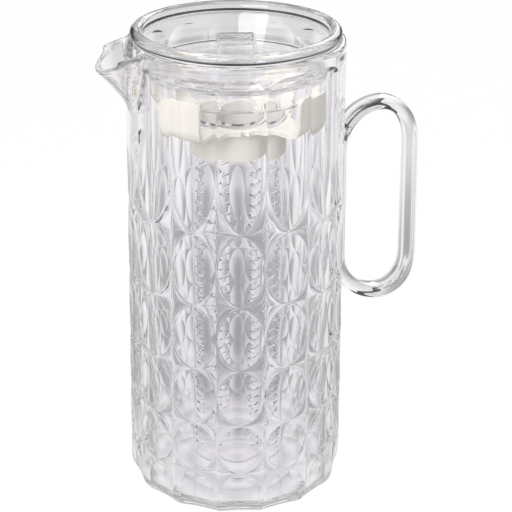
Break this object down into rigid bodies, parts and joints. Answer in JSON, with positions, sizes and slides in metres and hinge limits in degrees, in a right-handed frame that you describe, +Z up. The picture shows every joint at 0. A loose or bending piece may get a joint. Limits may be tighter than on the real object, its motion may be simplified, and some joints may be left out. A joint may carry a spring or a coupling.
{
  "type": "infusion pitcher",
  "caption": "Clear cut-pattern pitcher with a pouring beak, a bonded loop handle, a dish lid, and a slotted infuser tube hung from a carrier that clips under the lid.",
  "frame": {"origin": "centre of the flat foot, on the jug's axis, at table level", "axes": "+Z up, +X towards the handle, -X towards the spout"},
  "size_m": [0.2085, 0.135, 0.303],
  "materials": {
    "clear_plastic": "polished, clear",
    "ivory_plastic": "gloss"
  },
  "bodies": {
    "pitcher": {"pitcher_body": "clear_plastic", "handle": "clear_plastic"},
    "lid": {"lid": "clear_plastic"},
    "carrier": {"infuser_carrier": "ivory_plastic"},
    "tube": {"infuser_tube": "clear_plastic"}
  },
  "joints": [
    {"name": "lid_lift", "type": "slide", "parent": "pitcher", "child": "lid", "axis": [0, 0, 1], "range_m": [0, 0.295]},
    {"name": "carrier_turn", "type": "hinge", "parent": "lid", "child": "carrier", "pos_m": [0, 0, 0.25], "axis": [0, 0, 1], "continuous": true},
    {"name": "tube_lift", "type": "slide", "parent": "carrier", "child": "tube", "axis": [0, 0, 1], "range_m": [0, 0.025]}
  ]
}
